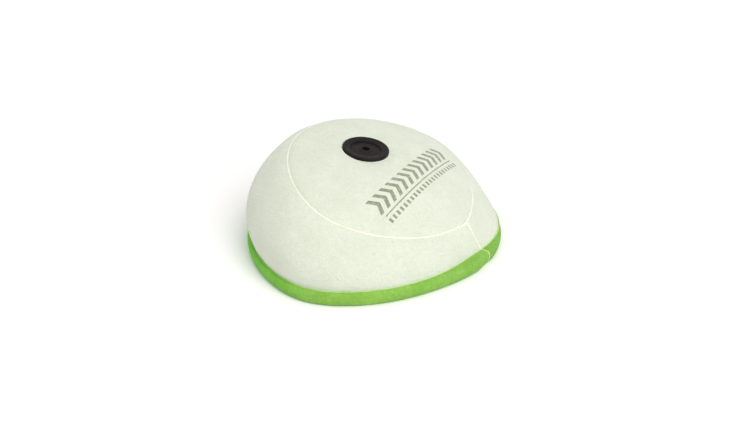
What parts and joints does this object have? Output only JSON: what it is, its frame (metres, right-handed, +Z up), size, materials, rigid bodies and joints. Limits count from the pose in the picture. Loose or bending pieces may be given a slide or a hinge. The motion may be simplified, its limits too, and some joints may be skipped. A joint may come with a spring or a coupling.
{
  "type": "air filter",
  "caption": "Domed foam air filter with a sloping top, a foam sealing ring round its open base and a moulded grommet with a bolt hole in its crown.",
  "frame": {"origin": "middle of the outline's length and width, at the sealing ring's underside", "axes": "+X towards the low nose, where the butt joints are; +Z up out of the sealing face, towards the grommet; Y side to side"},
  "size_m": [0.21, 0.243, 0.0833],
  "materials": {
    "coarse_foam": "matt open-cell foam",
    "fine_foam": "matt fine open-cell foam",
    "ring_foam": "matt closed-cell foam",
    "seam_glue": "dried flexible glue",
    "bond_glue": "dried flexible glue over green foam",
    "grommet_rubber": "satin moulded"
  },
  "bodies": {
    "root": {"outer_side_wall": "coarse_foam", "outer_top_panel": "coarse_foam", "inner_side_wall": "fine_foam", "inner_top_panel": "fine_foam", "sealing_ring": "ring_foam", "top_seam_bead": "seam_glue", "side_seam_bead": "seam_glue", "inner_top_seam_bead": "seam_glue", "inner_side_seam_bead": "seam_glue", "base_bond_fillet": "bond_glue", "inner_base_bond_fillet": "bond_glue", "ring_joint_bead": "bond_glue", "grommet_outer_flange": "grommet_rubber", "grommet_inner_flange": "grommet_rubber"}
  },
  "joints": []
}
